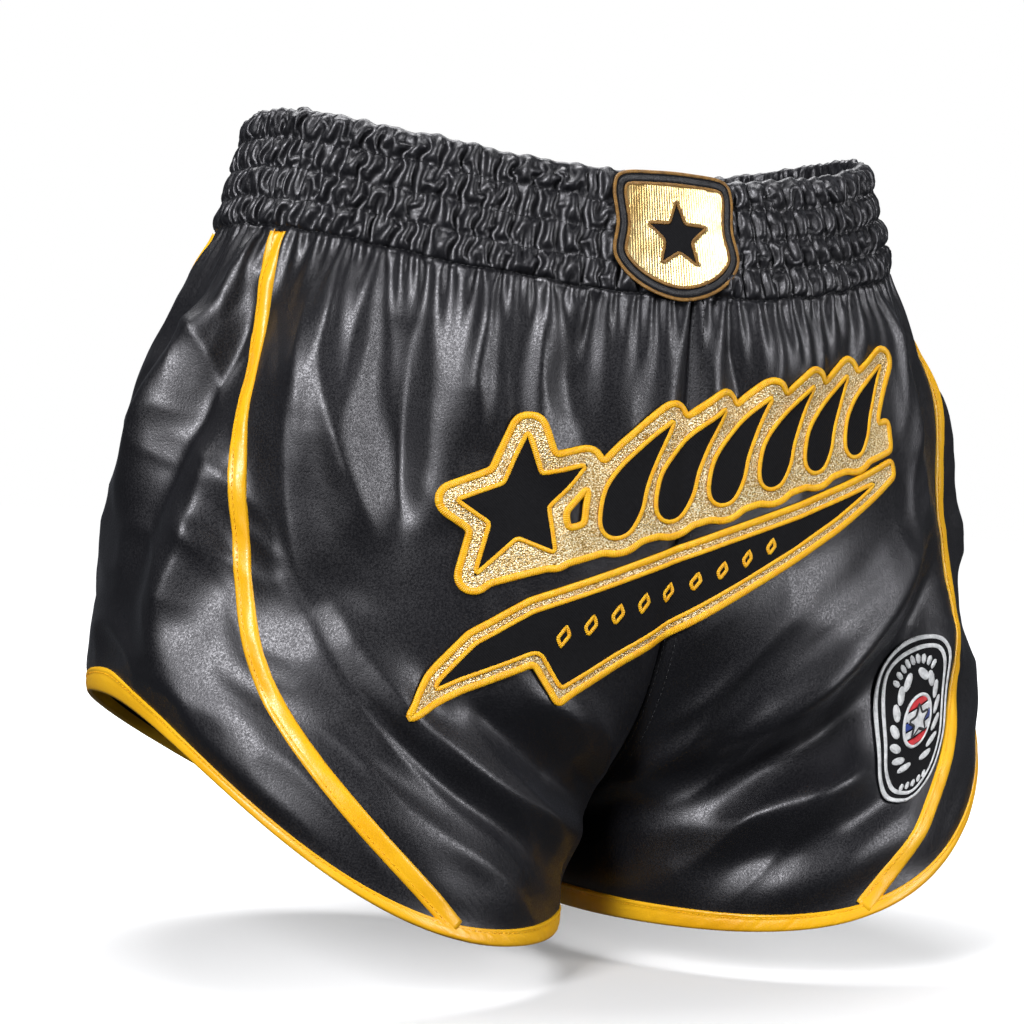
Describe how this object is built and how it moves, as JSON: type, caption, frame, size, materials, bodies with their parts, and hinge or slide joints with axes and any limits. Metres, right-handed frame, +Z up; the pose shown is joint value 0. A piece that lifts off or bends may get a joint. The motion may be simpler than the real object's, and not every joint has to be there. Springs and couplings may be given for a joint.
{
  "type": "boxing shorts",
  "caption": "Retro-cut satin boxing shorts in their worn shape, with a gathered elastic waistband, contrast piping, bound curved hems and sewn-on appliques.",
  "frame": {"origin": "centre of the waist opening, level with the waistband's top edge at the wearer's sides", "axes": "+Z up out of the waist opening, +X towards the wearer's left, -Y towards the wearer's front"},
  "size_m": [0.4244, 0.2543, 0.352],
  "materials": {
    "satin": "black satin weave, soft sheen, darker on the inside",
    "gold_satin": "golden-yellow satin tape",
    "elastic": "white woven elastic",
    "glitter_twill": "gold glitter fabric",
    "black_twill": "matt black twill",
    "gold_thread": "golden-yellow satin stitch",
    "black_thread": "matt black sewing thread",
    "gold_foil": "metallic gold foil cloth",
    "patch_embroidery": "white and silver embroidery on black",
    "label_tape": "plain white woven tape"
  },
  "bodies": {
    "root": {"front_panel_right": "satin", "side_panel_right": "satin", "back_panel_right": "satin", "hem_binding_right": "gold_satin", "front_piping_right": "gold_satin", "back_piping_right": "gold_satin", "front_panel_left": "satin", "side_panel_left": "satin", "back_panel_left": "satin", "hem_binding_left": "gold_satin", "front_piping_left": "gold_satin", "back_piping_left": "gold_satin", "waistband_cover": "satin", "elastic_row_1": "elastic", "elastic_row_2": "elastic", "elastic_row_3": "elastic", "elastic_row_4": "elastic", "applique_crest": "glitter_twill", "applique_tail": "black_twill", "leg_patch": "patch_embroidery", "waist_badge": "gold_foil", "care_label": "label_tape"}
  },
  "joints": []
}
